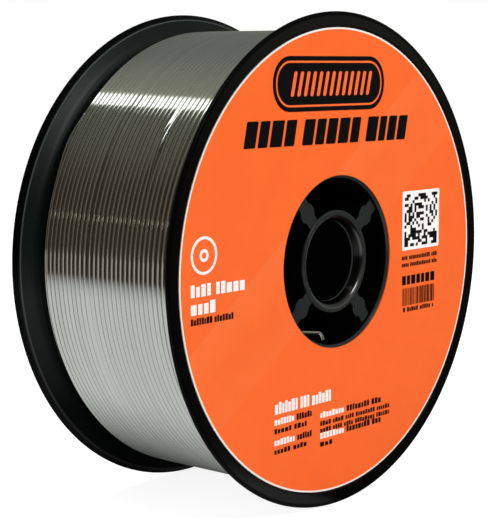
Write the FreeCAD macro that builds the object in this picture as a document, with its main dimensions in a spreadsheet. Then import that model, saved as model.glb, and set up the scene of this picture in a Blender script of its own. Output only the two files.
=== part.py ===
import FreeCAD, Part
import math
import os
import Sketcher

# A small welding wire spool: a one-piece moulded plastic spool, the coil of wire wound on it
# and the round label stuck to its front face.
# Each piece is drawn about the Z axis with its front face up, then turned so that the spool
# stands on its two rims: axis along Y, label facing -Y, origin on the axis at mid-width.

document = FreeCAD.newDocument("wire_spool")
sheet = document.addObject("Spreadsheet::Sheet", "sizes")

# Driving dimensions, in millimetres, degrees and counts
sizes = {
    "flange_diameter": 101.6,
    "spool_width": 43.0,
    "flange_thickness": 3.4,
    "rim_band": 0.5,
    "rim_bevel_depth": 1.1,
    "rim_bevel_width": 1.0,
    "rim_taper_depth": 4.3,
    "face_edge": 0.25,
    "barrel_diameter": 38.4,
    "barrel_wall": 2.0,
    "mouth_chamfer": 0.4,
    "label_seat_gap": 0.3,
    "label_seat_depth": 0.3,
    "label_margin": 3.2,
    "label_hole_diameter": 35.6,
    "label_thickness": 0.2,
    "hub_diameter": 21.2,
    "hub_setback": 1.0,
    "bore_diameter": 16.5,
    "lead_in_diameter": 18.2,
    "lead_in_depth": 2.0,
    "rib_count": 4,
    "rib_thickness": 2.5,
    "rib_setback": 1.3,
    "rib_turn": 39.7,
    "post_diameter": 4.0,
    "post_circle_diameter": 27.2,
    "coil_margin": 3.6,
    "coil_clearance": 0.1,
    "layer_pitch": 1.06,
    "layer_groove_depth": 0.35,
    "end_layers": 4,
    "outer_layer_gap": 2.4,
    "tail_diameter": 1.2,
    "tail_hole_clearance": 0.6,
    "tail_hole_turn": 242.0,
    "tail_depth": 4.8,
    "tail_tilt": 19.0,
    "tail_reach": 0.3,
    "tail_run": 4.0,
    "tail_run_turn": 110.0,
    "tail_tip": 0.7,
    "tail_tip_turn": 40.0,
    "tail_bend_radius": 1.1,
}

# Radii from the axis and heights above the mid-plane that the pieces share
places = {
    "flange_radius": "flange_diameter / 2",
    "face_edge_radius": "flange_radius - face_edge",
    "bevel_radius": "flange_radius - rim_bevel_depth",
    "taper_radius": "flange_radius - rim_taper_depth",
    "label_radius": "flange_radius - label_margin",
    "label_seat_radius": "label_radius + label_seat_gap",
    "label_hole_radius": "label_hole_diameter / 2",
    "barrel_radius": "barrel_diameter / 2",
    "barrel_inner_radius": "barrel_radius - barrel_wall",
    "mouth_radius": "barrel_inner_radius + mouth_chamfer",
    "hub_radius": "hub_diameter / 2",
    "bore_radius": "bore_diameter / 2",
    "lead_in_radius": "lead_in_diameter / 2",
    "rib_inner_end": "(bore_radius + hub_radius) / 2",
    "rib_outer_end": "(barrel_inner_radius + barrel_radius) / 2",
    "rib_half": "rib_thickness / 2",
    "post_radius": "post_diameter / 2",
    "post_place": "post_circle_diameter / 2",
    "face_height": "spool_width / 2",
    "face_edge_height": "face_height - face_edge",
    "band_height": "face_height - rim_band",
    "bevel_height": "band_height - rim_bevel_width",
    "inner_face_height": "face_height - flange_thickness",
    "label_seat_height": "face_height - label_seat_depth",
    "label_top_height": "label_seat_height + label_thickness",
    "mouth_height": "label_seat_height - mouth_chamfer",
    "hub_face_height": "face_height - hub_setback",
    "lead_in_height": "hub_face_height - lead_in_depth",
    "rib_face_height": "face_height - rib_setback",
    "coil_inner_radius": "barrel_radius + coil_clearance / 2",
    "coil_radius": "flange_radius - coil_margin",
    "coil_front_height": "inner_face_height - coil_clearance",
    "coil_rear_height": "coil_clearance - inner_face_height",
    "front_groove_height": "coil_front_height - layer_groove_depth",
    "rear_groove_height": "coil_rear_height + layer_groove_depth",
    "outer_layer_end": "outer_layer_gap - inner_face_height",
    "tail_height": "face_height - tail_depth",
    "tail_radius": "tail_diameter / 2",
    "tail_hole_radius": "tail_radius + tail_hole_clearance",
    "tail_hole_start": "(hub_radius + barrel_inner_radius) / 2",
    "tail_hole_length": "barrel_radius + tail_diameter - tail_hole_start",
    "tail_root": "barrel_radius + tail_diameter",
    "tail_first_bend": "barrel_inner_radius - tail_reach",
}

cell_texts = dict(sizes)
cell_texts.update({alias: "=" + formula for alias, formula in places.items()})
for row, (alias, text) in enumerate(cell_texts.items(), start=1):
    sheet.set(f"A{row}", alias)
    sheet.set(f"B{row}", str(text))
    sheet.setAlias(f"B{row}", alias)
document.recompute()


def size(alias):
    return float(sheet.get(alias))


def at(base, step=None, count=0.0):
    """Value and expression of a cell, or of a cell plus some steps of another one."""
    if step is None:
        return size(base), f"sizes.{base}"
    return size(base) + count * size(step), f"sizes.{base} + ({count}) * sizes.{step}"


def origin_feature(body, role):
    return next(feature for feature in body.Origin.OriginFeatures if feature.Role == role)


def add_sketch(body, name, role):
    sketch = body.newObject("Sketcher::SketchObject", name)
    sketch.AttachmentSupport = [(origin_feature(body, role), "")]
    sketch.MapMode = "FlatFace"
    return sketch


def bind(sketch, constraint, expression):
    index = sketch.addConstraint(constraint)
    sketch.setExpression(f"Constraints[{index}]", expression)


def pin(sketch, edge, end, across, up):
    """Hold one end of an edge at its distances from the sketch's two axes."""
    for kind, (value, expression), axis in (("DistanceX", across, -2), ("DistanceY", up, -1)):
        if value == 0:
            sketch.addConstraint(Sketcher.Constraint("PointOnObject", edge, end, axis))
        else:
            bind(sketch, Sketcher.Constraint(kind, -1, 1, edge, end, value), expression)


def add_outline(sketch, corners):
    """Closed outline of straight edges through corners given as pairs of at()."""
    count = len(corners)
    points = [FreeCAD.Vector(across[0], up[0], 0) for across, up in corners]
    for index in range(count):
        sketch.addGeometry(Part.LineSegment(points[index], points[(index + 1) % count]))
    for index in range(count):
        sketch.addConstraint(
            Sketcher.Constraint("Coincident", index, 2, (index + 1) % count, 1))
        pin(sketch, index, 1, *corners[index])


def add_circle(sketch, across, radius):
    circle = Part.Circle(FreeCAD.Vector(across[0], 0, 0), FreeCAD.Vector(0, 0, 1), radius[0])
    index = sketch.addGeometry(circle)
    bind(sketch, Sketcher.Constraint("Radius", index, radius[0]), radius[1])
    pin(sketch, index, 3, across, ZERO)


def turn(body, name, sketch):
    feature = body.newObject("PartDesign::Revolution", name)
    feature.Profile = sketch
    feature.ReferenceAxis = (sketch, ["V_Axis"])
    feature.Angle = 360
    return feature


def mirror(body, name, feature):
    mirrored = body.newObject("PartDesign::Mirrored", name)
    mirrored.Originals = [feature]
    mirrored.MirrorPlane = (origin_feature(body, "XY_Plane"), [""])
    body.Tip = mirrored
    return mirrored


def add_body(label):
    """An empty body whose front face will point towards -Y, standing on its rims."""
    body = document.addObject("PartDesign::Body", label)
    body.Label = label
    body.Placement = FreeCAD.Placement(
        FreeCAD.Vector(0, 0, 0), FreeCAD.Rotation(FreeCAD.Vector(1, 0, 0), 90))
    return body


ZERO = (0, "0")

# The spool is one moulding: two flanges and the barrel between them, a hub tube for the
# spindle, and four ribs that carry the hub inside the barrel, each with a round post
spool = add_body("spool")
flange_sketch = add_sketch(spool, "flange_section", "XZ_Plane")
add_outline(flange_sketch, [
    (at("barrel_inner_radius"), ZERO),
    (at("barrel_inner_radius"), at("mouth_height")),
    (at("mouth_radius"), at("label_seat_height")),
    (at("label_seat_radius"), at("label_seat_height")),
    (at("label_seat_radius"), at("face_height")),
    (at("face_edge_radius"), at("face_height")),
    (at("flange_radius"), at("face_edge_height")),
    (at("flange_radius"), at("band_height")),
    (at("bevel_radius"), at("bevel_height")),
    (at("taper_radius"), at("inner_face_height")),
    (at("barrel_radius"), at("inner_face_height")),
    (at("barrel_radius"), ZERO),
])
front_half = turn(spool, "front_half", flange_sketch)
document.recompute()
mirror(spool, "rear_half", front_half)
document.recompute()

rib_sketch = add_sketch(spool, "rib_section", "XY_Plane")
rib_sketch.setExpression("AttachmentOffset.Rotation.Angle", "sizes.rib_turn")
add_outline(rib_sketch, [
    (at("rib_inner_end"), at("rib_half")),
    (at("rib_inner_end"), at("rib_half", "rib_thickness", -1)),
    (at("rib_outer_end"), at("rib_half", "rib_thickness", -1)),
    (at("rib_outer_end"), at("rib_half")),
])
post_sketch = add_sketch(spool, "post_section", "XY_Plane")
post_sketch.setExpression("AttachmentOffset.Rotation.Angle", "sizes.rib_turn")
add_circle(post_sketch, at("post_place"), at("post_radius"))
pads = []
for name, sketch in (("rib", rib_sketch), ("post", post_sketch)):
    pad = spool.newObject("PartDesign::Pad", name)
    pad.Profile = sketch
    pad.Midplane = True
    pad.setExpression("Length", "2 * sizes.rib_face_height")
    pads.append(pad)
document.recompute()
ribs = spool.newObject("PartDesign::PolarPattern", "ribs")
ribs.Originals = pads
ribs.Axis = (origin_feature(spool, "Z_Axis"), [""])
ribs.Angle = 360
ribs.setExpression("Occurrences", "sizes.rib_count")
spool.Tip = ribs
document.recompute()

hub_sketch = add_sketch(spool, "hub_section", "XZ_Plane")
add_outline(hub_sketch, [
    (at("bore_radius"), ZERO),
    (at("bore_radius"), at("lead_in_height")),
    (at("lead_in_radius"), at("hub_face_height")),
    (at("hub_radius"), at("hub_face_height")),
    (at("hub_radius"), ZERO),
])
hub_half = turn(spool, "hub_half", hub_sketch)
document.recompute()
mirror(spool, "hub", hub_half)
document.recompute()

# A hole through the barrel wall lets the start of the wire into the pocket by the hub
hole_sketch = add_sketch(spool, "tail_hole_section", "YZ_Plane")
hole_turn = FreeCAD.Rotation(FreeCAD.Vector(0, 1, 0), size("tail_hole_turn"))
hole_place = FreeCAD.Vector(0, size("tail_height"), size("tail_hole_start"))
hole_sketch.AttachmentOffset = FreeCAD.Placement(
    hole_turn.multVec(FreeCAD.Vector(0, 0, hole_place.z)) + FreeCAD.Vector(0, hole_place.y, 0),
    hole_turn)
add_circle(hole_sketch, ZERO, at("tail_hole_radius"))
before_hole = spool.Shape.Volume
tail_hole = spool.newObject("PartDesign::Pocket", "tail_hole")
tail_hole.Profile = hole_sketch
tail_hole.Reversed = True
tail_hole.setExpression("Length", "sizes.tail_hole_length")
document.recompute()
print("tail hole cuts", round(before_hole - spool.Shape.Volume, 3), "mm3")

# The wire coil: one turned solid on the barrel, with the turns of its outer layers as ridges
# on both ends; the outermost layer stops a little short of the rear flange
coil = add_body("wire_coil")
coil_sketch = add_sketch(coil, "coil_section", "XZ_Plane")
layers = int(size("end_layers"))
corners = [
    (at("coil_inner_radius"), at("coil_rear_height")),
    (at("coil_inner_radius"), at("coil_front_height")),
    (at("coil_radius", "layer_pitch", -layers - 0.5), at("coil_front_height")),
]
for number in range(layers, 0, -1):
    corners.append((at("coil_radius", "layer_pitch", -number), at("front_groove_height")))
    corners.append((at("coil_radius", "layer_pitch", 0.5 - number), at("coil_front_height")))
corners.append((at("coil_radius"), at("front_groove_height")))
corners.append((at("coil_radius"), at("outer_layer_end", "layer_groove_depth", 1.0)))
corners.append((at("coil_radius", "layer_pitch", -0.5), at("outer_layer_end")))
corners.append((at("coil_radius", "layer_pitch", -1.0),
                at("outer_layer_end", "layer_groove_depth", 1.0)))
for number in range(1, layers + 1):
    corners.append((at("coil_radius", "layer_pitch", -number), at("rear_groove_height")))
    corners.append((at("coil_radius", "layer_pitch", -number - 0.5), at("coil_rear_height")))
add_outline(coil_sketch, corners)
turn(coil, "winding", coil_sketch)
document.recompute()

# The start of the wire: it leaves the coil through the hole and is bent over in the pocket
path_sketch = add_sketch(coil, "tail_path", "XY_Plane")
path_sketch.AttachmentOffset = FreeCAD.Placement(
    FreeCAD.Vector(0, 0, size("tail_height")),
    FreeCAD.Rotation(FreeCAD.Vector(0, 0, 1), size("tail_hole_turn"))
    * FreeCAD.Rotation(FreeCAD.Vector(1, 0, 0), size("tail_tilt")))


def heading(degrees):
    return FreeCAD.Vector(math.cos(math.radians(degrees)), math.sin(math.radians(degrees)), 0)


bend = size("tail_bend_radius")
headings = [180.0, size("tail_run_turn"), size("tail_tip_turn")]
lengths = [size("tail_root") - size("tail_first_bend"), size("tail_run"), size("tail_tip")]
point = FreeCAD.Vector(size("tail_root"), 0, 0)
for number, (degrees, length) in enumerate(zip(headings, lengths)):
    end = point + heading(degrees) * length
    path_sketch.addGeometry(Part.LineSegment(point, end))
    point = end
    if number < 2:
        centre = end + heading(degrees - 90) * bend
        following = headings[number + 1]
        path_sketch.addGeometry(Part.ArcOfCircle(
            Part.Circle(centre, FreeCAD.Vector(0, 0, 1), bend),
            math.radians(following + 90), math.radians(degrees + 90)))
        point = centre + heading(following + 90) * bend
pin(path_sketch, 0, 1, at("tail_root"), ZERO)
pin(path_sketch, 0, 2, at("tail_first_bend"), ZERO)
for line, arc in ((0, 1), (2, 3)):
    path_sketch.addConstraint(Sketcher.Constraint("Tangent", line, 2, arc, 2))
    path_sketch.addConstraint(Sketcher.Constraint("Tangent", arc, 1, line + 2, 1))
    bind(path_sketch, Sketcher.Constraint("Radius", arc, bend), "sizes.tail_bend_radius")
for line, alias in ((2, "tail_run"), (4, "tail_tip")):
    degrees = size(alias + "_turn")
    bind(path_sketch, Sketcher.Constraint("Distance", line, size(alias)), "sizes." + alias)
    bind(path_sketch, Sketcher.Constraint("Angle", line, math.radians(degrees)),
         f"sizes.{alias}_turn")
document.recompute()

wire_sketch = coil.newObject("Sketcher::SketchObject", "tail_section")
wire_sketch.AttachmentSupport = [(path_sketch, "Vertex1"), (path_sketch, "Edge1")]
wire_sketch.MapMode = "NormalToEdge"
add_circle(wire_sketch, ZERO, at("tail_radius"))
document.recompute()
tail = coil.newObject("PartDesign::AdditivePipe", "tail")
tail.Profile = wire_sketch
tail.Spine = (path_sketch, [f"Edge{number}" for number in range(1, 6)])
document.recompute()

# The printed label: a thin ring of card stuck in the shallow seat of the front flange
label = add_body("label")
label_sketch = add_sketch(label, "label_section", "XZ_Plane")
add_outline(label_sketch, [
    (at("label_hole_radius"), at("label_seat_height")),
    (at("label_hole_radius"), at("label_top_height")),
    (at("label_radius"), at("label_top_height")),
    (at("label_radius"), at("label_seat_height")),
])
turn(label, "label_ring", label_sketch)
document.recompute()

for item in document.Objects:
    if "Invalid" in item.State or "Error" in item.State:
        raise RuntimeError(f"{item.Label} failed to build: {item.State}")

os.makedirs("parts", exist_ok=True)
for piece in (spool, coil, label):
    shape = piece.Shape
    if shape.isNull() or not shape.isValid():
        raise RuntimeError(f"{piece.Label} has no valid shape")
    shape.exportStep(f"parts/{piece.Label}.step")
    box = shape.BoundBox
    print(piece.Label, len(shape.Solids), "solid,", round(shape.Volume / 1000, 3), "cm3,",
          [round(value, 2) for value in (box.XMin, box.YMin, box.ZMin, box.XMax, box.YMax, box.ZMax)])
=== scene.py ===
import math
import random

import bmesh
import bpy
from mathutils import Matrix, Vector, noise


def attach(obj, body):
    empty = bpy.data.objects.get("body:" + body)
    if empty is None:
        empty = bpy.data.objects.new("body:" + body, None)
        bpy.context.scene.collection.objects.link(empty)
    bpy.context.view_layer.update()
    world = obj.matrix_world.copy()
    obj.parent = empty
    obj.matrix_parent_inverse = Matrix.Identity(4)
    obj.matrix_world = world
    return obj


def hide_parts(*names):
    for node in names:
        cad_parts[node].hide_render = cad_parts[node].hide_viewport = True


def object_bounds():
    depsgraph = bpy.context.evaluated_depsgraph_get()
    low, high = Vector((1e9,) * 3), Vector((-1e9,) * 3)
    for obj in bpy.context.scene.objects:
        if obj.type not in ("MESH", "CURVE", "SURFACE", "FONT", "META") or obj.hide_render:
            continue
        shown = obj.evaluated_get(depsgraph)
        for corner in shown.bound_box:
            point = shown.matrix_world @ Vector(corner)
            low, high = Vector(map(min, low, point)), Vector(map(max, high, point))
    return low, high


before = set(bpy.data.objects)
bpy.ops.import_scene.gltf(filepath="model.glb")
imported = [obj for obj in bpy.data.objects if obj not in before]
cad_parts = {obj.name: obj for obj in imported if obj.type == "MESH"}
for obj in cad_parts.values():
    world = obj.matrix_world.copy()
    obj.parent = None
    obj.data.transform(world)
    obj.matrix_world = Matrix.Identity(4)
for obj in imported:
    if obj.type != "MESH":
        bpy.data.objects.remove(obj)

cad_box = [list(map(float, corner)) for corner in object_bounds()]

# The spool: one injection moulding in black plastic, with two flanges on a barrel.
# Its section is drawn once, from the barrel's mouth out over the rim and back along the
# inner face, its corners are eased as a mould leaves them, and it is turned about the axis.
mm = 0.001
flange_radius = 50.8
half_section = [
    (17.2, 20.8, 0.12), (17.6, 21.2, 0.12), (47.9, 21.2, 0.06), (47.9, 21.5, 0.1),
    (50.55, 21.5, 0.12), (flange_radius, 21.25, 0.1), (flange_radius, 21.0, 0.1),
    (49.7, 20.0, 0.35),
    (46.5, 18.1, 1.7), (19.2, 18.1, 0.0)]


def turned(section, steps):
    """A bmesh of a closed section of (radius, depth, corner ease) in mm, turned about Y,
    with a narrow loop at each end of its flats so that they shade flat."""
    shortest_flat = 0.8 * mm
    loop_width = 0.12 * mm
    bm = bmesh.new()
    corners = [bm.verts.new((radius * mm, depth * mm, 0)) for radius, depth, ease in section]
    for start, end in zip(corners, corners[1:] + corners[:1]):
        bm.edges.new((start, end))
    for corner, (radius, depth, ease) in zip(corners, section):
        if ease:
            bmesh.ops.bevel(bm, geom=[corner], offset=ease * mm, segments=4, profile=0.5,
                            affect="VERTICES", material=-1)
    for edge in [edge for edge in bm.edges if edge.calc_length() > shortest_flat]:
        near_end = bmesh.utils.edge_split(edge, edge.verts[0], loop_width / edge.calc_length())[0]
        rest = max((near_end, edge), key=lambda part: part.calc_length())
        bmesh.utils.edge_split(rest, rest.verts[0], 1 - loop_width / rest.calc_length())
    bmesh.ops.spin(bm, geom=bm.verts[:] + bm.edges[:], cent=(0, 0, 0), axis=(0, 1, 0),
                   angle=2 * math.pi, steps=steps, use_merge=True)
    bmesh.ops.remove_doubles(bm, verts=bm.verts[:], dist=1e-7)
    bmesh.ops.recalc_face_normals(bm, faces=bm.faces[:])
    return bm


def piece(bm, name, crease=35):
    """A finished object from a bmesh, smooth except across edges sharper than the crease."""
    for face in bm.faces:
        face.smooth = True
    for edge in bm.edges:
        if len(edge.link_faces) == 2:
            edge.smooth = edge.calc_face_angle() < math.radians(crease)
    mesh = bpy.data.meshes.new(name)
    bm.to_mesh(mesh)
    bm.free()
    made = bpy.data.objects.new(name, mesh)
    bpy.context.scene.collection.objects.link(made)
    return made


front = [(radius, -depth, ease) for radius, depth, ease in half_section]
rear = [(radius, depth, ease) for radius, depth, ease in reversed(half_section)]
flanges = piece(turned(front + rear, 192), "flanges")

# The hole in the barrel wall that lets the start of the wire through is cut with a round
# pin, in the plane of the wire's first turn.
hole_turn = math.radians(242)
hole_depth = -16.7 * mm
hole_radius = 1.2 * mm
wall_middle = 18 * mm
pin_bm = bmesh.new()
bmesh.ops.create_cone(pin_bm, cap_ends=True, segments=24, radius1=hole_radius,
                      radius2=hole_radius, depth=5 * mm)
out_of_axis = Vector((math.cos(hole_turn), 0, math.sin(hole_turn)))
bmesh.ops.rotate(pin_bm, verts=pin_bm.verts, cent=(0, 0, 0),
                 matrix=Vector((0, 0, 1)).rotation_difference(out_of_axis).to_matrix())
bmesh.ops.translate(pin_bm, verts=pin_bm.verts,
                    vec=out_of_axis * wall_middle + Vector((0, hole_depth, 0)))
pin = piece(pin_bm, "hole_pin")
cut = flanges.modifiers.new("wire_hole", "BOOLEAN")
cut.operation = "DIFFERENCE"
cut.solver = "EXACT"
cut.object = pin
bpy.context.view_layer.update()
drilled = bpy.data.meshes.new_from_object(
    flanges.evaluated_get(bpy.context.evaluated_depsgraph_get()))
bpy.data.objects.remove(pin)
bpy.data.objects.remove(flanges)

# The hub is part of the same moulding: a tube for the spindle with a tapered lead-in at each
# mouth, held in the barrel by four ribs that swell into a round post half-way out. It stops
# a millimetre short of the rims, and the ribs a little shorter still.
hub_section = [
    (8.25, -18.5, 0.2), (9.1, -20.5, 0.85), (10.6, -20.5, 0.25),
    (10.6, 20.5, 0.25), (9.1, 20.5, 0.85), (8.25, 18.5, 0.2)]
spool_bm = turned(hub_section, 128)
rib_count = 4
rib_start = 9.6
rib_end = 18.0
rib_reach = 20.2
rib_turn = 39.7
half_rib = 1.45
post_radius = 2.15
post_place = 13.6
neck = post_radius * math.cos(math.asin(half_rib / post_radius))
post_sides = [[(post_place + post_radius * math.cos(math.radians(step)),
                post_radius * math.sin(math.radians(step)))
               for step in range(start, start + 95, 10)] for start in (225, 45)]
outline = [(rib_start, -half_rib), (post_place - neck, -half_rib), *post_sides[0],
           (post_place + neck, -half_rib), (rib_end, -half_rib),
           (rib_end, half_rib), (post_place + neck, half_rib), *post_sides[1],
           (post_place - neck, half_rib), (rib_start, half_rib)]
for number in range(rib_count):
    rib = bmesh.new()
    corners = [rib.verts.new((along * mm, -rib_reach * mm, across * mm))
               for along, across in outline]
    for first, second in zip(corners, corners[1:] + corners[:1]):
        rib.edges.new((first, second))
    necks = [corner for corner, (along, across) in zip(corners, outline)
             if abs(abs(along - post_place) - neck) < 1e-6]
    bmesh.ops.bevel(rib, geom=necks, offset=0.3 * mm, segments=3, profile=0.5,
                    affect="VERTICES", material=-1)
    bmesh.ops.edgeloop_fill(rib, edges=rib.edges[:])
    grown = bmesh.ops.extrude_face_region(rib, geom=rib.faces[:])["geom"]
    far_end = [item for item in grown if isinstance(item, bmesh.types.BMVert)]
    bmesh.ops.translate(rib, verts=far_end, vec=(0, 2 * rib_reach * mm, 0))
    bmesh.ops.recalc_face_normals(rib, faces=rib.faces[:])
    rims = [edge for edge in rib.edges
            if abs(edge.verts[0].co.y - edge.verts[1].co.y) < 1e-6]
    bmesh.ops.bevel(rib, geom=rims, offset=0.12 * mm, segments=1, profile=0.5,
                    affect="EDGES", material=-1)
    bmesh.ops.rotate(rib, verts=rib.verts, cent=(0, 0, 0),
                     matrix=Matrix.Rotation(-math.radians(rib_turn + 360 / rib_count * number),
                                            3, "Y"))
    loose = bpy.data.meshes.new("rib")
    rib.to_mesh(loose)
    rib.free()
    spool_bm.from_mesh(loose)
    bpy.data.meshes.remove(loose)
spool_bm.from_mesh(drilled)
bpy.data.meshes.remove(drilled)
spool = piece(spool_bm, "spool_moulding")
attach(spool, "root")
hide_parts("spool")

# Fine handling marks: short, thin scratches in random directions, used by the plastic and
# by the label's face.
handling = bpy.data.node_groups.new("handling_marks", "ShaderNodeTree")
handling.interface.new_socket("Vector", in_out="INPUT", socket_type="NodeSocketVector")
handling.interface.new_socket("Scale", in_out="INPUT", socket_type="NodeSocketFloat")
handling.interface.new_socket("Amount", in_out="INPUT", socket_type="NodeSocketFloat")
handling.interface.new_socket("Mask", in_out="OUTPUT", socket_type="NodeSocketFloat")


def add_node(tree, kind, name, **settings):
    """A shader node: attributes by name, and input values in put, by socket name or number."""
    node = tree.nodes.new(kind)
    node.name = name
    node.label = name.replace("_", " ")
    values = settings.pop("put", {})
    for attribute, value in settings.items():
        setattr(node, attribute, value)
    for socket, value in values.items():
        node.inputs[socket].default_value = value
    return node


def join(tree, *pairs):
    """Links given as (node, output, node, input)."""
    for source, output, target, entry in pairs:
        tree.links.new(source.outputs[output], target.inputs[entry])


marks_in = add_node(handling, "NodeGroupInput", "in")
marks_out = add_node(handling, "NodeGroupOutput", "out")
bend = add_node(handling, "ShaderNodeTexNoise", "bend", put={"Scale": 60.0, "Detail": 1.0})
sway = add_node(handling, "ShaderNodeVectorMath", "sway", operation="MULTIPLY_ADD",
                put={1: (0.02, 0.02, 0.02)})
streaks = add_node(handling, "ShaderNodeTexNoise", "streaks",
                   put={"Detail": 4.0, "Roughness": 0.7})
stretch = add_node(handling, "ShaderNodeVectorMath", "stretch", operation="MULTIPLY",
                   put={1: (1.0, 1.0, 0.06)})
thin = add_node(handling, "ShaderNodeMapRange", "thin",
                put={"From Min": 0.62, "From Max": 0.74, "To Min": 0.0, "To Max": 1.0})
level = add_node(handling, "ShaderNodeMath", "level", operation="MULTIPLY")
join(handling,
     (marks_in, "Vector", bend, "Vector"), (bend, "Color", sway, 0), (marks_in, "Vector", sway, 2),
     (sway, 0, stretch, 0), (stretch, 0, streaks, "Vector"), (marks_in, "Scale", streaks, "Scale"),
     (streaks, "Fac", thin, "Value"), (thin, "Result", level, 0), (marks_in, "Amount", level, 1),
     (level, 0, marks_out, "Mask"))

# Edge highlight: a painted highlight, a thin pale line painted where an edge of turned work
# catches the light. The edge is given by its radius and its depth from the middle of the part.
edge_highlight = bpy.data.node_groups.new("edge_highlight", "ShaderNodeTree")
for entry in ("Radius", "Depth", "Edge Radius", "Edge Depth", "Width"):
    edge_highlight.interface.new_socket(entry, in_out="INPUT", socket_type="NodeSocketFloat")
edge_highlight.interface.new_socket("Mask", in_out="OUTPUT", socket_type="NodeSocketFloat")
highlight_in = add_node(edge_highlight, "NodeGroupInput", "in")
highlight_out = add_node(edge_highlight, "NodeGroupOutput", "out")
here = add_node(edge_highlight, "ShaderNodeCombineXYZ", "here")
there = add_node(edge_highlight, "ShaderNodeCombineXYZ", "there")
apart = add_node(edge_highlight, "ShaderNodeVectorMath", "apart", operation="DISTANCE")
fade = add_node(edge_highlight, "ShaderNodeMapRange", "fade", interpolation_type="SMOOTHSTEP",
                put={"From Min": 0.0, "To Min": 1.0, "To Max": 0.0})
join(edge_highlight,
     (highlight_in, "Radius", here, "X"), (highlight_in, "Depth", here, "Y"),
     (highlight_in, "Edge Radius", there, "X"), (highlight_in, "Edge Depth", there, "Y"),
     (here, 0, apart, 0), (there, 0, apart, 1), (apart, "Value", fade, "Value"),
     (highlight_in, "Width", fade, "From Max"), (fade, "Result", highlight_out, "Mask"))

# Black moulded plastic: deep black outside, matt where the wire runs against it, where painted
# shade darkens its colour and gloss toward the bottom, and greyer on the end faces of the hub and
# ribs. Painted highlights run as thin pale lines along the edges of its rim and bore, and the lip
# of the bore has a high gloss.
plastic = bpy.data.materials.new("black_plastic")
plastic.use_nodes = True
tree = plastic.node_tree
shader = tree.nodes["Principled BSDF"]
shader.inputs["IOR"].default_value = 1.49
shader.inputs["Coat IOR"].default_value = 1.85
shader.inputs["Coat Roughness"].default_value = 0.14
place = add_node(tree, "ShaderNodeTexCoord", "place")
split = add_node(tree, "ShaderNodeSeparateXYZ", "split")
depth = add_node(tree, "ShaderNodeMath", "depth", operation="ABSOLUTE")
flat = add_node(tree, "ShaderNodeVectorMath", "flat", operation="MULTIPLY", put={1: (1, 0, 1)})
reach = add_node(tree, "ShaderNodeVectorMath", "reach", operation="LENGTH")
wire_side = add_node(tree, "ShaderNodeMapRange", "wire_side",
                     put={"From Min": 0.0201, "From Max": 0.0199, "To Min": 0.0, "To Max": 1.0})
beyond = add_node(tree, "ShaderNodeMath", "beyond", operation="GREATER_THAN", put={1: 0.0189})
inside = add_node(tree, "ShaderNodeMath", "inside", operation="MULTIPLY")
within = add_node(tree, "ShaderNodeMath", "within", operation="COMPARE",
                  put={1: 0.01325, 2: 0.0038})
outermost = add_node(tree, "ShaderNodeMapRange", "outermost",
                     put={"From Min": 0.0199, "From Max": 0.0202, "To Min": 0.0, "To Max": 1.0})
hub_end = add_node(tree, "ShaderNodeMath", "hub_end", operation="MULTIPLY")
# Painted shade: the colour and gloss of the inner faces darken toward the bottom.
foot = add_node(tree, "ShaderNodeMapRange", "foot",
                put={"From Min": -0.030, "From Max": -0.006, "To Min": 0.1, "To Max": 1.0})
clean = add_node(tree, "ShaderNodeMath", "clean", operation="MULTIPLY")
dulled = add_node(tree, "ShaderNodeMath", "dulled", operation="SUBTRACT")
glint = add_node(tree, "ShaderNodeMath", "glint", operation="MULTIPLY_ADD")
rim_line = add_node(tree, "ShaderNodeMath", "rim_line", operation="MULTIPLY")
cloud = add_node(tree, "ShaderNodeTexNoise", "cloud", put={"Scale": 90.0, "Detail": 3.0})
base = add_node(tree, "ShaderNodeMix", "base", data_type="RGBA",
                put={6: (0.0012, 0.0013, 0.0014, 1), 7: (0.0018, 0.0052, 0.0047, 1)})
tone = add_node(tree, "ShaderNodeMix", "tone", data_type="RGBA",
                put={7: (0.0205, 0.0250, 0.0243, 1)})
tube = add_node(tree, "ShaderNodeMath", "tube", operation="LESS_THAN", put={1: 0.0103})
polished = add_node(tree, "ShaderNodeMath", "polished", operation="MULTIPLY")
at_mouth = add_node(tree, "ShaderNodeMath", "at_mouth", operation="LESS_THAN", put={1: 0.0179})
lip = add_node(tree, "ShaderNodeMath", "lip", operation="GREATER_THAN", put={1: 0.0207})
mouth = add_node(tree, "ShaderNodeMath", "mouth", operation="MULTIPLY")
matt = add_node(tree, "ShaderNodeMath", "matt", operation="MAXIMUM")
# Painted highlights: thin pale lines along the rim's rounded edge and the bore's edge, the rim's
# line fading under the painted shade toward the bottom.
rim_highlight = add_node(tree, "ShaderNodeGroup", "rim_highlight", node_tree=edge_highlight,
                    put={"Edge Radius": 0.0497, "Edge Depth": 0.0200, "Width": 0.00024})
bore_highlight = add_node(tree, "ShaderNodeGroup", "bore_highlight", node_tree=edge_highlight,
                     put={"Edge Radius": 0.0083, "Edge Depth": 0.0185, "Width": 0.00028})
painted_edge_lines = add_node(tree, "ShaderNodeMath", "painted_edge_lines", operation="MAXIMUM")
rubbed = add_node(tree, "ShaderNodeMix", "rubbed", data_type="RGBA",
                  put={7: (0.062, 0.074, 0.071, 1)})
brim = add_node(tree, "ShaderNodeMapRange", "brim",
                put={"From Min": 0.0498, "From Max": 0.0501, "To Min": 0.3, "To Max": 0.06})
marks = add_node(tree, "ShaderNodeGroup", "marks", node_tree=handling,
                 put={"Scale": 2200.0, "Amount": 0.25})
worn = add_node(tree, "ShaderNodeMix", "worn", data_type="RGBA", put={7: (0.02, 0.021, 0.022, 1)})
gloss = add_node(tree, "ShaderNodeMapRange", "gloss",
                 put={"From Min": 0.0, "From Max": 1.0, "To Min": 0.16, "To Max": 0.30})
rough = add_node(tree, "ShaderNodeMath", "rough", operation="MULTIPLY_ADD", put={1: 0.08})
grain = add_node(tree, "ShaderNodeTexNoise", "grain", put={"Scale": 3500.0, "Detail": 2.0})
relief = add_node(tree, "ShaderNodeBump", "relief", put={"Strength": 0.1, "Distance": 0.00002})
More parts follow.
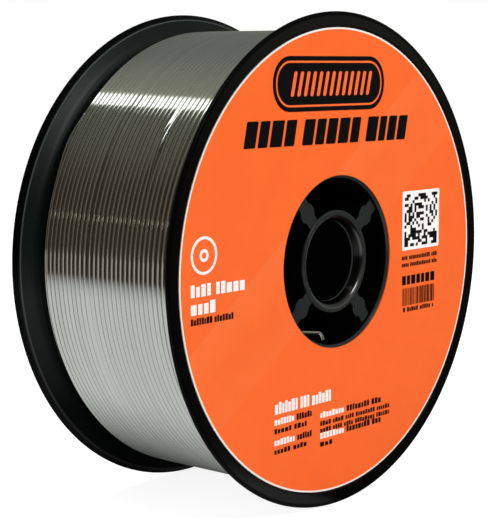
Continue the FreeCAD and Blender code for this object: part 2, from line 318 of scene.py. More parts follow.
join(tree,
     (place, "Object", split, 0), (split, "Y", depth, 0), (depth, 0, wire_side, "Value"),
     (place, "Object", flat, 0), (flat, 0, reach, 0), (reach, "Value", beyond, 0),
     (wire_side, "Result", inside, 0), (beyond, 0, inside, 1),
     (reach, "Value", within, 0), (depth, 0, outermost, "Value"),
     (within, 0, hub_end, 0), (outermost, "Result", hub_end, 1),
     (place, "Object", cloud, "Vector"), (split, "Z", foot, "Value"), (inside, 0, clean, 0),
     (foot, "Result", clean, 1), (clean, 0, base, 0), (base, 2, tone, 6),
     (reach, "Value", at_mouth, 0), (depth, 0, lip, 0), (at_mouth, 0, mouth, 0),
     (lip, 0, mouth, 1), (hub_end, 0, matt, 0), (mouth, 0, matt, 1), (matt, 0, tone, 0),
     (reach, "Value", rim_highlight, "Radius"), (depth, 0, rim_highlight, "Depth"),
     (reach, "Value", bore_highlight, "Radius"), (depth, 0, bore_highlight, "Depth"),
     (rim_highlight, "Mask", rim_line, 0), (foot, "Result", rim_line, 1),
     (rim_line, 0, painted_edge_lines, 0), (bore_highlight, "Mask", painted_edge_lines, 1),
     (painted_edge_lines, 0, rubbed, 0), (tone, 2, rubbed, 6),
     (place, "Object", marks, "Vector"), (marks, "Mask", worn, 0),
     (rubbed, 2, worn, 6), (worn, 2, shader, "Base Color"),
     (inside, 0, gloss, "Value"), (cloud, "Fac", rough, 0), (gloss, "Result", rough, 2),
     (reach, "Value", tube, 0), (tube, 0, polished, 0), (outermost, "Result", polished, 1),
     (polished, 0, shader, "Coat Weight"), (reach, "Value", brim, "Value"),
     (clean, 0, dulled, 0), (inside, 0, dulled, 1), (brim, "Result", glint, 0),
     (dulled, 0, glint, 1), (brim, "Result", glint, 2), (glint, 0, shader, "Specular IOR Level"),
     (rough, 0, shader, "Roughness"), (place, "Object", grain, "Vector"),
     (grain, "Fac", relief, "Height"), (relief, "Normal", shader, "Normal"))
spool.data.materials.append(plastic)

# The winding: drawn steel wire laid in even layers. The layers that are out of sight are one
# turned solid, with the ends of its outer layers as ridges against the flanges.
layer = 1.06
top_ridge = 45.2
barrel_side = 19.25
half_length = 18.0
ridges = []
for number in range(5):
    ridges.append((top_ridge - layer * number, 17.65, 0.1))
    ridges.append((top_ridge - layer * (number + 0.5), half_length, 0.15))
core_section = [(radius, -depth, ease) for radius, depth, ease in ridges]
core_section.extend([(barrel_side, -half_length, 0.0), (barrel_side, half_length, 0.0)])
core_section.extend(reversed(ridges))
core_section.extend([(45.3, 17.4, 0), (45.3, 15.6, 0), (46.3, 15.4, 0), (46.3, -17.4, 0)])
core = piece(turned(core_section, 160), "inner_layers")

# The turns that show are real wire on a helix. It is laid nearly touching, and here and
# there a turn runs a hair wide of its neighbour or stands a little proud.
wire_radius = 0.5975
random.seed(11)


def laid_turns(name, lay_radius, first, turns, pitch, slack, loose, steps=150, sides=16):
    """Turns of wire on a helix about Y, with the slack shared out between turns at random.
    Before the lap given as loose, one runs straight for a few degrees and stands proud."""
    straight = 0.14
    settled = 0.4
    bow = 0.45
    bow_height = bow * straight ** 2
    bow_slope = 0.0328
    bm = bmesh.new()
    ring = bmesh.ops.create_circle(bm, segments=sides, radius=wire_radius * mm)
    bmesh.ops.translate(bm, verts=ring["verts"], vec=(lay_radius * mm, first * mm, 0))
    bmesh.ops.spin(bm, geom=bm.verts[:] + bm.edges[:], cent=(0, 0, 0), axis=(0, 1, 0),
                   dvec=(0, pitch * mm / steps, 0), angle=2 * math.pi, steps=steps,
                   use_merge=False)
    one_turn = bpy.data.meshes.new("one_turn")
    bm.to_mesh(one_turn)
    for number in range(1, turns):
        known = len(bm.verts)
        bm.from_mesh(one_turn)
        bm.verts.ensure_lookup_table()
        bmesh.ops.translate(bm, verts=bm.verts[known:], vec=(0, number * pitch * mm, 0))
    bpy.data.meshes.remove(one_turn)
    bmesh.ops.remove_doubles(bm, verts=bm.verts[:], dist=1e-7)
    bmesh.ops.holes_fill(bm, edges=[edge for edge in bm.edges if edge.is_boundary], sides=sides)
    shares = [random.random() ** 5 for number in range(turns + 2)]
    drift = [0.0]
    for share in shares:
        drift.append(drift[-1] + slack * share / sum(shares))
    proud = [random.uniform(-0.035, 0.0) for number in range(turns + 3)]
    lay = bm.verts.layers.float_vector.new("lay")
    for vert in bm.verts:
        x, y, z = vert.co / mm
        part = (math.atan2(-z, x) / (2 * math.pi)) % 1.0
        lap = max(0, round((y - first) / pitch - part)) + part
        low = min(int(lap), turns)
        share = lap - low
        slide = drift[low] * (1 - share) + drift[low + 1] * share
        lift = proud[low] * (1 - share) + proud[low + 1] * share
        wander = noise.noise(Vector((x * 0.02, lap * 0.9, z * 0.02))) * 0.05
        past = (loose - lap) * 2 * math.pi
        if 0 < past < straight:
            lift += lay_radius * past ** 2 * bow
        elif straight <= past < settled:
            back = (past - straight) / (settled - straight)
            lift += lay_radius * (bow_height * (1 + 2 * back) + bow_slope * back) * (1 - back) ** 2
        radius = math.hypot(x, z)
        reach = (radius + lift) / radius
        vert[lay] = ((radius - lay_radius) / wire_radius,
                     (y - first - pitch * lap) / wire_radius, lap)
        vert.co = Vector((x * reach, y + slide + wander, z * reach)) * mm
    bmesh.ops.recalc_face_normals(bm, faces=bm.faces[:])
    return piece(bm, name, crease=60)


outer = laid_turns("outer_turns", 46.6, -17.36, 27, 1.195, 0.8, 6.622)
under = laid_turns("under_turns", 45.54, 13.8, 3, 1.195, 0.1, 2.622)

# The start of the wire comes through the hole in the barrel and is bent over by hand in the
# pocket beside the hub, so that it cannot slip back.
wire_start = bmesh.new()
bend_radius = 1.1
leave_radius = 20.4
lean = math.radians(19)
bmesh.ops.create_circle(wire_start, cap_ends=True, segments=16, radius=0.6 * mm,
                        matrix=Matrix.Translation((leave_radius * mm, 0, 0))
                        @ Matrix.Rotation(math.pi / 2, 4, "Y"))
place_of = (Matrix.Rotation(math.pi / 2, 4, "X") @ Matrix.Translation((0, 0, -hole_depth))
            @ Matrix.Rotation(hole_turn, 4, "Z") @ Matrix.Rotation(lean, 4, "X"))
ring_edges = wire_start.edges[:]
point = Vector((leave_radius, 0, 0))
heading = math.radians(180)
for run, following in ((3.5, 110), (4.0, 40), (0.7, None)):
    step = Vector((math.cos(heading), math.sin(heading), 0)) * run
    grown = bmesh.ops.extrude_edge_only(wire_start, edges=ring_edges)["geom"]
    ring_verts = [item for item in grown if isinstance(item, bmesh.types.BMVert)]
    ring_edges = [edge for edge in {edge for vert in ring_verts for edge in vert.link_edges}
                  if edge.other_vert(edge.verts[0]) in ring_verts and edge.verts[0] in ring_verts]
    bmesh.ops.translate(wire_start, verts=ring_verts, vec=step * mm)
    point = point + step
    if following is None:
        continue
    following = math.radians(following)
    centre = point + Vector((math.cos(heading - math.pi / 2),
                             math.sin(heading - math.pi / 2), 0)) * bend_radius
    turned_ring = bmesh.ops.spin(wire_start, geom=ring_edges, cent=centre * mm, axis=(0, 0, 1),
                                 angle=following - heading, steps=8)["geom_last"]
    ring_verts = [item for item in turned_ring if isinstance(item, bmesh.types.BMVert)]
    ring_edges = [item for item in turned_ring if isinstance(item, bmesh.types.BMEdge)]
    point = centre + Matrix.Rotation(following - heading, 3, "Z") @ (point - centre)
    heading = following
bmesh.ops.holes_fill(wire_start, edges=ring_edges, sides=16)
bmesh.ops.transform(wire_start, matrix=place_of, verts=wire_start.verts)
bmesh.ops.recalc_face_normals(wire_start, faces=wire_start.faces[:])
tail = piece(wire_start, "wire_start", crease=50)

# Bright drawn steel: fine lines run along the wire, each turn keeps a tone of its own, and its
# flanks are rubbed matt where turns touch. All of it follows the place along and round the
# wire that the winding keeps for each point.
steel = bpy.data.materials.new("drawn_steel")
steel.use_nodes = True
tree = steel.node_tree
shader = tree.nodes["Principled BSDF"]
shader.inputs["Metallic"].default_value = 1.0
lay = add_node(tree, "ShaderNodeAttribute", "lay", attribute_name="lay")
along = add_node(tree, "ShaderNodeVectorMath", "along", operation="MULTIPLY", put={1: (1, 1, 0.6)})
lines = add_node(tree, "ShaderNodeTexNoise", "lines", put={"Scale": 5.0, "Detail": 3.0})
apart = add_node(tree, "ShaderNodeVectorMath", "apart", operation="MULTIPLY", put={1: (0, 0, 1)})
tones = add_node(tree, "ShaderNodeTexNoise", "tones", put={"Scale": 1.7, "Detail": 2.0})
tint = add_node(tree, "ShaderNodeValToRGB", "tint")
tint.color_ramp.elements[0].position = 0.35
tint.color_ramp.elements[0].color = (0.57, 0.595, 0.57, 1)
tint.color_ramp.elements[1].position = 0.65
tint.color_ramp.elements[1].color = (0.63, 0.655, 0.63, 1)
rough = add_node(tree, "ShaderNodeMapRange", "rough",
                 put={"From Min": 0.3, "From Max": 0.7, "To Min": 0.05, "To Max": 0.09})
split = add_node(tree, "ShaderNodeSeparateXYZ", "split")
flank = add_node(tree, "ShaderNodeMath", "flank", operation="ABSOLUTE")
matt_flank = add_node(tree, "ShaderNodeMapRange", "matt_flank", interpolation_type="SMOOTHSTEP",
                      put={"From Min": 0.86, "From Max": 1.0, "To Min": 0.0, "To Max": 0.45})
finish = add_node(tree, "ShaderNodeMath", "finish", operation="ADD")
join(tree,
     (lay, "Vector", split, 0), (split, "Y", flank, 0), (flank, 0, matt_flank, "Value"),
     (matt_flank, "Result", finish, 1), (rough, "Result", finish, 0),
     (lay, "Vector", along, 0), (along, 0, lines, "Vector"), (lay, "Vector", apart, 0),
     (apart, 0, tones, "Vector"), (tones, "Fac", tint, "Fac"),
     (tint, "Color", shader, "Base Color"), (lines, "Fac", rough, "Value"),
     (finish, 0, shader, "Roughness"))
for wound in (core, outer, under, tail):
    wound.data.materials.append(steel)
    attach(wound, "root")
    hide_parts("wire_coil")

# The label: a ring of coated card in a shallow seat of the front flange, printed orange up to
# a narrow bare margin, with a faint painted reflection, a band of sheen, across its colour. The
# imported solid has its true shape, so it only gets its finish here.
card = bpy.data.materials.new("orange_label_card")
card.use_nodes = True
tree = card.node_tree
shader = tree.nodes["Principled BSDF"]
shader.inputs["IOR"].default_value = 1.45
shader.inputs["Specular IOR Level"].default_value = 0.15
place = add_node(tree, "ShaderNodeTexCoord", "place")
flat = add_node(tree, "ShaderNodeVectorMath", "flat", operation="MULTIPLY", put={1: (1, 0, 1)})
reach = add_node(tree, "ShaderNodeVectorMath", "reach", operation="LENGTH")
margin = add_node(tree, "ShaderNodeMapRange", "margin",
                  put={"From Min": 0.04720, "From Max": 0.04725, "To Min": 0.0, "To Max": 1.0})
mottle = add_node(tree, "ShaderNodeTexNoise", "mottle", put={"Scale": 160.0, "Detail": 3.0})
ink = add_node(tree, "ShaderNodeValToRGB", "ink")
ink.color_ramp.elements[0].position = 0.3
ink.color_ramp.elements[0].color = (0.97, 0.145, 0.024, 1)
ink.color_ramp.elements[1].position = 0.7
ink.color_ramp.elements[1].color = (1.0, 0.155, 0.026, 1)
bare = add_node(tree, "ShaderNodeMix", "bare", data_type="RGBA", put={7: (0.9, 0.86, 0.78, 1)})
# Painted reflection: a faint diagonal band of sheen lightens the card's orange.
across = add_node(tree, "ShaderNodeVectorMath", "across", operation="DOT_PRODUCT",
                  put={1: (0.584, 0.0, -0.811)})
sheen_place = add_node(tree, "ShaderNodeMapRange", "sheen_place",
                        put={"From Min": -0.0201, "From Max": 0.0072, "To Min": 0.0, "To Max": 1.0})
band = add_node(tree, "ShaderNodeValToRGB", "band")
band.color_ramp.elements[0].position = 0.17
band.color_ramp.elements[0].color = (0.0, 0.0, 0.0, 1)
band.color_ramp.elements[1].position = 0.83
band.color_ramp.elements[1].color = (0.0, 0.0, 0.0, 1)
for stop, strength in ((0.185, 0.075), (0.5, 0.015), (0.815, 0.045)):
    band.color_ramp.elements.new(stop).color = (strength, strength, strength, 1)
sheen = add_node(tree, "ShaderNodeMix", "sheen", data_type="RGBA", put={7: (1.0, 0.45, 0.20, 1)})
marks = add_node(tree, "ShaderNodeGroup", "marks", node_tree=handling,
                 put={"Scale": 1500.0, "Amount": 0.25})
rough = add_node(tree, "ShaderNodeMath", "rough", operation="MULTIPLY_ADD", put={1: 0.3, 2: 0.36})
fibre = add_node(tree, "ShaderNodeTexNoise", "fibre", put={"Scale": 2600.0, "Detail": 3.0})
relief = add_node(tree, "ShaderNodeBump", "relief", put={"Strength": 0.1, "Distance": 0.00002})
join(tree,
     (place, "Object", flat, 0), (flat, 0, reach, 0), (reach, "Value", margin, "Value"),
     (place, "Object", mottle, "Vector"), (mottle, "Fac", ink, "Fac"), (ink, "Color", sheen, 6),
     (place, "Object", across, 0), (across, "Value", sheen_place, "Value"),
     (sheen_place, "Result", band, "Fac"), (band, "Color", sheen, 0), (sheen, 2, bare, 6),
     (margin, "Result", bare, 0), (bare, 2, shader, "Base Color"),
     (place, "Object", marks, "Vector"), (marks, "Mask", rough, 0),
     (rough, 0, shader, "Roughness"), (place, "Object", fibre, "Vector"),
     (fibre, "Fac", relief, "Height"), (relief, "Normal", shader, "Normal"))
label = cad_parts["label"]
label.data.materials.clear()
label.data.materials.append(card)

# The print on the label is left generic: bars and blocks in black, white and orange ink,
# each a film a few hundredths of a millimetre thick on the card's face.
unit = flange_radius
face = -21.4
films = {"black": bmesh.new(), "orange": bmesh.new(), "white": bmesh.new()}


def film(ink_name, left, right, low, high, raised=0.03, lean=0.0, ease=0.0):
    """A flat block of ink on the label: edges in flange radii from the axis, seen from the
    front, raised this many mm over the card, with upright ends leaning and corners eased."""
    bm = bmesh.new()
    place = Matrix.Translation(((left + right) / 2 * unit * mm, (face - raised / 2 + 0.01) * mm,
                                (low + high) / 2 * unit * mm))
    shear = Matrix.Identity(4)
    shear[0][2] = lean
    size = Matrix.Diagonal(((right - left) * unit * mm, (raised + 0.02) * mm,
                            (high - low) * unit * mm, 1))
    bmesh.ops.create_cube(bm, size=1, matrix=place @ shear @ size)
    if ease:
        ends = [edge for edge in bm.edges
                if abs(edge.verts[0].co.y - edge.verts[1].co.y) > 0.01 * mm]
        bmesh.ops.bevel(bm, geom=ends, offset=ease * unit * mm, segments=8, profile=0.5,
                        affect="EDGES", material=-1)
    loose = bpy.data.meshes.new("film")
    bm.to_mesh(loose)
    bm.free()
    films[ink_name].from_mesh(loose)
    bpy.data.meshes.remove(loose)


def disc_film(ink_name, across, up, outer_radius, inner_radius, raised=0.03):
    """A round dot or ring of ink, in the same units."""
    bm = bmesh.new()
    span = outer_radius - inner_radius
    bmesh.ops.create_cube(bm, size=1, matrix=Matrix.Translation(
        ((inner_radius + span / 2) * unit * mm, (face - raised / 2 + 0.01) * mm, 0))
        @ Matrix.Diagonal((span * unit * mm, (raised + 0.02) * mm, 0, 1)))
    bmesh.ops.remove_doubles(bm, verts=bm.verts[:], dist=1e-8)
    bmesh.ops.delete(bm, geom=bm.faces[:], context="FACES_ONLY")
    bmesh.ops.spin(bm, geom=bm.verts[:] + bm.edges[:], cent=(0, 0, 0), axis=(0, 1, 0),
                   angle=2 * math.pi, steps=48, use_merge=True)
    bmesh.ops.remove_doubles(bm, verts=bm.verts[:], dist=1e-8)
    bmesh.ops.recalc_face_normals(bm, faces=bm.faces[:])
    bmesh.ops.translate(bm, verts=bm.verts, vec=(across * unit * mm, 0, up * unit * mm))
    loose = bpy.data.meshes.new("film")
    bm.to_mesh(loose)
    bm.free()
    films[ink_name].from_mesh(loose)
    bpy.data.meshes.remove(loose)


def filler_line(ink_name, left, right, low, high, words):
    """A line of small blocks in groups, which fills the place of a printed line."""
    height = high - low
    glyphs = []
    for count in words:
        glyphs.extend([random.uniform(0.75, 1.1) for number in range(count)] + [None])
    glyphs.pop()
    total = sum(0.6 if width is None else width for width in glyphs)
    scale = (right - left) / total
    at = left
    for width in glyphs:
        if width is None:
            at += 0.6 * scale
            continue
        top = high if random.random() < 0.5 else high - 0.18 * height
        film(ink_name, at, at + (width - 0.24) * scale, low, top)
        at += width * scale


random.seed(4)
film("black", -0.416, 0.294, 0.609, 0.823, 0.03, 0.0, 0.10)
film("orange", -0.398, 0.276, 0.627, 0.805, 0.036, 0.0, 0.083)
film("black", -0.390, 0.268, 0.635, 0.797, 0.042, 0.0, 0.076)
for number in range(13):
    across = -0.30 + 0.04 * number
    film("orange", across, across + 0.02, 0.668, 0.764, 0.048, 0.25, 0.008)
at = -0.575
for widths in ((0.08, 0.07, 0.085, 0.075), (0.08, 0.07, 0.075, 0.08, 0.07),
               (0.085, 0.06, 0.07, 0.075)):
    for width in widths:
        film("black", at, at + width - 0.014, 0.478, 0.579, 0.03, 0.22, 0.006)
        at += width
    at += 0.035
disc_film("white", -0.804, 0.10, 0.071, 0.060)
disc_film("white", -0.804, 0.10, 0.024, 0.012)
filler_line("white", -0.876, -0.571, -0.050, -0.004, [4, 5])
filler_line("white", -0.876, -0.735, -0.1155, -0.068, [4])
filler_line("black", -0.876, -0.640, -0.153, -0.128, [8, 7])
film("white", 0.437, 0.71, 0.004, 0.256, 0.03, 0.0, 0.008)
cells = 17
cell_width = 0.243 / cells
cell_height = 0.224 / cells
for row in range(cells):
    for column in range(cells):
        if random.random() < 0.5:
            left = 0.452 + cell_width * column
            low = 0.018 + cell_height * row
            film("black", left, left + cell_width, low, low + cell_height, 0.036)
filler_line("black", 0.437, 0.70, -0.037, -0.018, [3, 12, 3])
filler_line("black", 0.437, 0.70, -0.067, -0.049, [4, 12, 3])
filler_line("black", 0.440, 0.690, -0.145, -0.097, [7])
at = 0.445
while at < 0.68:
    width = random.choice((0.003, 0.003, 0.006, 0.009))
    film("black", at, at + width, -0.235, -0.16)
    at += width + random.choice((0.003, 0.004, 0.006))
filler_line("black", 0.450, 0.680, -0.262, -0.243, [1, 5, 5, 1])
filler_line("white", -0.40, -0.042, -0.563, -0.516, [7, 3, 6])
for low, split_at in ((-0.606, 0.53), (-0.688, 0.55)):
    left, right = -0.403, -0.168
    middle = left + (right - left) * split_at
    filler_line("white", left, middle, low, low + 0.025, [7])
    filler_line("black", middle + 0.012, right, low, low + 0.025, [6])
    filler_line("black", left, right - 0.03, low - 0.034, low - 0.014, [5, 4])
for low, rows in ((-0.626, 2), (-0.712, 1)):
    left, right = -0.1155, 0.30
    filler_line("white", left, left + 0.16, low, low + 0.025, [8])
    filler_line("black", left + 0.175, right, low, low + 0.025, [8, 3])
    for number in range(rows):
        filler_line("black", left, right + (0.06 if rows == 2 else -0.33),
                    low - 0.032 - 0.028 * number, low - 0.013 - 0.028 * number,
                    [4, 4, 4, 8, 6] if rows == 2 else [3])

inks = {"black": (0.0025, 0.0025, 0.003, 1), "white": (0.92, 0.90, 0.86, 1),
        "orange": (1.0, 0.15, 0.03, 1)}
for name, bm in films.items():
    bmesh.ops.recalc_face_normals(bm, faces=bm.faces[:])
    printed = piece(bm, "label_print_" + name)
    ink = bpy.data.materials.new(name + "_ink")
    ink.use_nodes = True
    tree = ink.node_tree
    shader = tree.nodes["Principled BSDF"]
    shader.inputs["IOR"].default_value = 1.45
    shader.inputs["Specular IOR Level"].default_value = 0.15
    place = add_node(tree, "ShaderNodeTexCoord", "place")
    mottle = add_node(tree, "ShaderNodeTexNoise", "mottle", put={"Scale": 900.0, "Detail": 3.0})
    density = add_node(tree, "ShaderNodeValToRGB", "density")
    thin_ink = [min(1.0, channel * 1.25 + 0.001) for channel in inks[name][:3]]
    density.color_ramp.elements[0].position = 0.35
    density.color_ramp.elements[0].color = inks[name]
    density.color_ramp.elements[1].position = 0.9
    density.color_ramp.elements[1].color = (*thin_ink, 1)
    marks = add_node(tree, "ShaderNodeGroup", "marks", node_tree=handling,
                     put={"Scale": 1500.0, "Amount": 0.25})
    rough = add_node(tree, "ShaderNodeMath", "rough", operation="MULTIPLY_ADD",
                     put={1: 0.3, 2: 0.42})
    join(tree,
         (place, "Object", mottle, "Vector"), (mottle, "Fac", density, "Fac"),
         (density, "Color", shader, "Base Color"), (place, "Object", marks, "Vector"),
         (marks, "Mask", rough, 0), (rough, 0, shader, "Roughness"))
    printed.data.materials.append(ink)
    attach(printed, "root")

# The floor: a plain pale sheet under the spool. Seen directly it is white with a soft shadow.
# In the gloss of the wire it is white near the spool and shaded under its rear half, grey far
# off behind, and lost in the dark of the room in front and to the right.
scene = bpy.context.scene
floor_reach = 12
floor_bm = bmesh.new()
bmesh.ops.create_grid(floor_bm, x_segments=1, y_segments=1, size=floor_reach,
                      matrix=Matrix.Translation((0, 0, cad_box[0][2])))
floor = piece(floor_bm, "floor")
paper = bpy.data.materials.new("floor_paper")
paper.use_nodes = True
tree = paper.node_tree
tree.nodes.remove(tree.nodes["Principled BSDF"])
end = tree.nodes["Material Output"]
place = add_node(tree, "ShaderNodeTexCoord", "place")
flat = add_node(tree, "ShaderNodeVectorMath", "flat", operation="MULTIPLY", put={1: (1, 1, 0)})
reach = add_node(tree, "ShaderNodeVectorMath", "reach", operation="LENGTH")
heading = add_node(tree, "ShaderNodeVectorMath", "heading", operation="NORMALIZE")
split = add_node(tree, "ShaderNodeSeparateXYZ", "split")
near = add_node(tree, "ShaderNodeMapRange", "near", interpolation_type="SMOOTHSTEP",
                put={"From Min": 0.17, "From Max": 0.40, "To Min": 1.0, "To Max": 0.0})
behind = add_node(tree, "ShaderNodeMapRange", "behind", interpolation_type="SMOOTHSTEP",
                  put={"From Min": 0.02, "From Max": 0.45, "To Min": 0.0, "To Max": 1.0})
left_of = add_node(tree, "ShaderNodeMapRange", "left_of", interpolation_type="SMOOTHSTEP",
                   put={"From Min": 0.4, "From Max": 0.7, "To Min": 1.0, "To Max": 0.0})
far_off = add_node(tree, "ShaderNodeMath", "far_off", operation="MULTIPLY")
right_of = add_node(tree, "ShaderNodeMapRange", "right_of", interpolation_type="SMOOTHSTEP",
                    put={"From Min": -0.06, "From Max": 0.16, "To Min": 0.0, "To Max": 1.0})
before = add_node(tree, "ShaderNodeMapRange", "before", interpolation_type="SMOOTHSTEP",
                  put={"From Min": 0.0, "From Max": -0.4, "To Min": 0.0, "To Max": 1.0})
corner = add_node(tree, "ShaderNodeMath", "corner", operation="MULTIPLY")
left_part = add_node(tree, "ShaderNodeMath", "left_part", operation="SUBTRACT", put={0: 1.0})
lit = add_node(tree, "ShaderNodeMath", "lit", operation="MULTIPLY")
squash = add_node(tree, "ShaderNodeVectorMath", "squash", operation="MULTIPLY_ADD",
                  put={1: (1, 0.6, 0), 2: (0, -0.015, 0)})
beside = add_node(tree, "ShaderNodeVectorMath", "beside", operation="LENGTH")
shade = add_node(tree, "ShaderNodeMapRange", "shade", interpolation_type="SMOOTHSTEP",
                 put={"From Min": 0.014, "From Max": 0.056, "To Min": 0.12, "To Max": 1.0})
distant = add_node(tree, "ShaderNodeMix", "distant", data_type="RGBA",
                   put={6: (0.035, 0.028, 0.022, 1), 7: (0.51, 0.45, 0.39, 1)})
close = add_node(tree, "ShaderNodeMix", "close", data_type="RGBA",
                 put={7: (0.76, 0.77, 0.75, 1)})
path = add_node(tree, "ShaderNodeLightPath", "path")
white = add_node(tree, "ShaderNodeBsdfDiffuse", "white", put={"Color": (0.9, 0.9, 0.9, 1)})
glow = add_node(tree, "ShaderNodeEmission", "glow", put={"Color": (1, 1, 1, 1), "Strength": 1.75})
bright = add_node(tree, "ShaderNodeMixShader", "bright", put={0: 0.5})
shine = add_node(tree, "ShaderNodeEmission", "shine")
seen = add_node(tree, "ShaderNodeMixShader", "seen")
kept = add_node(tree, "ShaderNodeMixShader", "kept")
join(tree,
     (place, "Object", flat, 0), (flat, 0, reach, 0), (flat, 0, heading, 0),
     (heading, 0, split, 0), (reach, "Value", near, "Value"), (split, "Y", behind, "Value"),
     (split, "X", left_of, "Value"), (behind, "Result", far_off, 0),
     (left_of, "Result", far_off, 1),
     (place, "Object", squash, 0), (squash, 0, beside, 0), (beside, "Value", shade, "Value"),
     (split, "X", right_of, "Value"), (split, "Y", before, "Value"),
     (right_of, "Result", corner, 0), (before, "Result", corner, 1), (corner, 0, left_part, 1),
     (near, "Result", lit, 0), (left_part, 0, lit, 1),
     (far_off, 0, distant, 0), (distant, 2, close, 6), (lit, 0, close, 0),
     (close, 2, shine, "Color"), (shade, "Result", shine, "Strength"),
     (white, 0, bright, 1), (glow, 0, bright, 2),
     (path, "Is Glossy Ray", seen, 0), (white, 0, seen, 1), (shine, 0, seen, 2),
     (path, "Is Camera Ray", kept, 0), (seen, 0, kept, 1), (bright, 0, kept, 2),
     (kept, 0, end, "Surface"))
floor.data.materials.append(paper)

# A soft-edged patch of light in the studio, round the direction that it is aimed from.
light_patch = bpy.data.node_groups.new("light_patch", "ShaderNodeTree")
light_patch.interface.new_socket("Direction", in_out="INPUT", socket_type="NodeSocketVector")
light_patch.interface.new_socket("Aim", in_out="INPUT", socket_type="NodeSocketVector")
light_patch.interface.new_socket("Outer", in_out="INPUT", socket_type="NodeSocketFloat")
light_patch.interface.new_socket("Inner", in_out="INPUT", socket_type="NodeSocketFloat")
light_patch.interface.new_socket("Mask", in_out="OUTPUT", socket_type="NodeSocketFloat")
patch_in = add_node(light_patch, "NodeGroupInput", "in")
patch_out = add_node(light_patch, "NodeGroupOutput", "out")
aimed = add_node(light_patch, "ShaderNodeVectorMath", "aimed", operation="DOT_PRODUCT")
edge = add_node(light_patch, "ShaderNodeMapRange", "edge", interpolation_type="SMOOTHSTEP",
                put={"To Min": 0.0, "To Max": 1.0})
join(light_patch,
     (patch_in, "Direction", aimed, 0), (patch_in, "Aim", aimed, 1),
     (aimed, "Value", edge, "Value"), (patch_in, "Outer", edge, "From Min"),
     (patch_in, "Inner", edge, "From Max"), (edge, "Result", patch_out, "Mask"))

# The studio round it: white behind the spool, plain and even for the light on its surfaces.
# In reflections it is a dim room with a grey ceiling cloth, a long strip light at the cloth's
# edge, a soft box high in front and one small lamp low on the left.
studio = bpy.data.worlds.new("studio")
scene.world = studio
studio.use_nodes = True
tree = studio.node_tree
end = tree.nodes["World Output"]
even = tree.nodes["Background"]
even.inputs["Color"].default_value = (0.30, 0.30, 0.30, 1)
path = add_node(tree, "ShaderNodeLightPath", "path")
place = add_node(tree, "ShaderNodeTexCoord", "place")
split = add_node(tree, "ShaderNodeSeparateXYZ", "split")
rise = add_node(tree, "ShaderNodeMapRange", "rise",
                put={"From Min": 0.50, "From Max": 0.70, "To Min": 0.0, "To Max": 1.0})
side = add_node(tree, "ShaderNodeMapRange", "side", interpolation_type="SMOOTHSTEP",
                put={"From Min": -0.2, "From Max": 0.7, "To Min": 0.0, "To Max": 1.0})
pale = add_node(tree, "ShaderNodeMix", "pale", data_type="RGBA",
                put={6: (0.165, 0.133, 0.100, 1), 7: (0.185, 0.185, 0.145, 1)})
deep = add_node(tree, "ShaderNodeMix", "deep", data_type="RGBA",
                put={6: (0.036, 0.029, 0.021, 1), 7: (0.062, 0.063, 0.048, 1)})
dim = add_node(tree, "ShaderNodeMix", "dim", data_type="RGBA")
lift = add_node(tree, "ShaderNodeVectorMath", "lift", operation="DOT_PRODUCT",
                put={1: (0.719, 0.0, 0.695)})
cloth = add_node(tree, "ShaderNodeValToRGB", "cloth")
cloth.color_ramp.elements[0].position = 0.47
cloth.color_ramp.elements[0].color = (0.35, 0.345, 0.265, 1)
cloth.color_ramp.elements[1].position = 0.80
cloth.color_ramp.elements[1].color = (0.190, 0.195, 0.178, 1)
cloth.color_ramp.elements.new(0.62).color = (0.275, 0.272, 0.222, 1)
above = add_node(tree, "ShaderNodeMapRange", "above",
                 put={"From Min": 0.442, "From Max": 0.452, "To Min": 0.0, "To Max": 1.0})
room = add_node(tree, "ShaderNodeMix", "room", data_type="RGBA")
lower = add_node(tree, "ShaderNodeMapRange", "lower",
                 put={"From Min": 0.414, "From Max": 0.424, "To Min": 0.0, "To Max": 1.0})
upper = add_node(tree, "ShaderNodeMapRange", "upper",
                 put={"From Min": 0.514, "From Max": 0.496, "To Min": 0.0, "To Max": 1.0})
length = add_node(tree, "ShaderNodeMapRange", "length",
                  put={"From Min": -0.52, "From Max": -0.34, "To Min": 0.0, "To Max": 1.0})
tube = add_node(tree, "ShaderNodeMath", "tube", operation="MULTIPLY")
strip = add_node(tree, "ShaderNodeMath", "strip", operation="MULTIPLY")
tubed = add_node(tree, "ShaderNodeMix", "tubed", data_type="RGBA", put={7: (2.6, 2.6, 2.4, 1)})
made = [tubed]
for name, aim, outer_edge, inner_edge, colour in (
        ("box_halo", (0.15, -0.857, 0.493), 0.80, 0.97, (0.30, 0.29, 0.25)),
        ("box_core", (0.10, -0.86, 0.50), 0.982, 0.991, (6.0, 6.0, 6.0)),
        ("left_lamp", (-0.9557, 0.014, 0.2943), 0.9997, 0.99995, (5.0, 4.4, 3.4))):
    spot = add_node(tree, "ShaderNodeGroup", name, node_tree=light_patch,
                    put={"Aim": aim, "Outer": outer_edge, "Inner": inner_edge})
    shown = add_node(tree, "ShaderNodeMix", name + "_shown", data_type="RGBA",
                     put={7: (*colour, 1)})
    join(tree, (place, "Generated", spot, "Direction"), (spot, "Mask", shown, 0),
         (made[-1], 2, shown, 6))
    made.append(shown)
mirrored = add_node(tree, "ShaderNodeBackground", "mirrored")
direct = add_node(tree, "ShaderNodeBackground", "direct", put={"Color": (1, 1, 1, 1)})
glossy = add_node(tree, "ShaderNodeMixShader", "glossy")
seen = add_node(tree, "ShaderNodeMixShader", "seen")
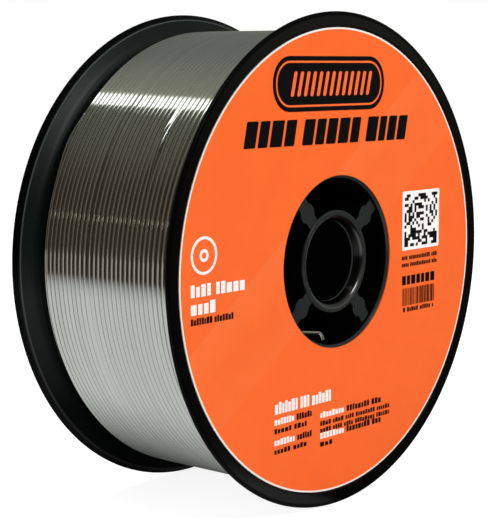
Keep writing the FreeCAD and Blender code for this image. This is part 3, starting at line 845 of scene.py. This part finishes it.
join(tree,
     (place, "Generated", split, 0), (split, "Z", rise, "Value"), (split, "Y", side, "Value"),
     (rise, "Result", pale, 0), (rise, "Result", deep, 0), (pale, 2, dim, 7), (deep, 2, dim, 6),
     (side, "Result", dim, 0),
     (place, "Generated", lift, 0), (lift, "Value", cloth, "Fac"), (lift, "Value", above, "Value"),
     (above, "Result", room, 0), (dim, 2, room, 6), (cloth, "Color", room, 7),
     (lift, "Value", lower, "Value"), (lift, "Value", upper, "Value"),
     (lower, "Result", tube, 0), (upper, "Result", tube, 1), (split, "Y", length, "Value"),
     (tube, 0, strip, 0), (length, "Result", strip, 1), (strip, 0, tubed, 0), (room, 2, tubed, 6),
     (made[-1], 2, mirrored, "Color"),
     (path, "Is Glossy Ray", glossy, 0), (even, 0, glossy, 1), (mirrored, 0, glossy, 2),
     (path, "Is Camera Ray", seen, 0), (glossy, 0, seen, 1), (direct, 0, seen, 2),
     (seen, 0, end, "Surface"))

# Three soft lamps: a large one in front and to the right of the label, one above, and a low
# one from the left along the winding.
for name, spot, power, width in (
        ("label_softbox", (0.35, -0.9, 0.55), 6.2, 0.6),
        ("top_softbox", (-0.25, 0.05, 0.9), 4.0, 0.5),
        ("left_softbox", (-0.9, -0.2, 0.25), 1.6, 0.4)):
    lamp = bpy.data.lights.new(name, "AREA")
    lamp.energy = power
    lamp.size = width
    holder = bpy.data.objects.new(name, lamp)
    holder.location = spot
    holder.rotation_euler = (-Vector(spot)).to_track_quat("-Z", "Y").to_euler()
    holder.visible_glossy = False
    holder.visible_camera = False
    scene.collection.objects.link(holder)

# The camera stands to the left of the label and a little above, at the photograph's angle.
camera_turn = math.radians(-49.097)
camera_rise = math.radians(7.262)
camera_reach = 6.6
sensor_height = 36
focal_length_px = 1566.4
picture_height_px = 524
back_way = Vector((math.sin(camera_turn) * math.cos(camera_rise),
                   -math.cos(camera_turn) * math.cos(camera_rise), math.sin(camera_rise)))
right_way = Vector((math.cos(camera_turn), math.sin(camera_turn), 0))
up_way = back_way.cross(right_way)
camera_data = bpy.data.cameras.new("camera")
camera_data.sensor_fit = "VERTICAL"
camera_data.sensor_height = sensor_height
camera_data.lens = focal_length_px * sensor_height / picture_height_px
camera_data.clip_start = 0.01
camera = bpy.data.objects.new("camera", camera_data)
spot = (back_way * camera_reach - right_way * 0.0369 - up_way * 0.036) * unit * mm
camera.matrix_world = Matrix.Translation(spot) @ Matrix(
    (right_way, up_way, back_way)).transposed().to_4x4()
scene.collection.objects.link(camera)
scene.camera = camera
scene.view_settings.view_transform = "Standard"

bpy.context.view_layer.update()
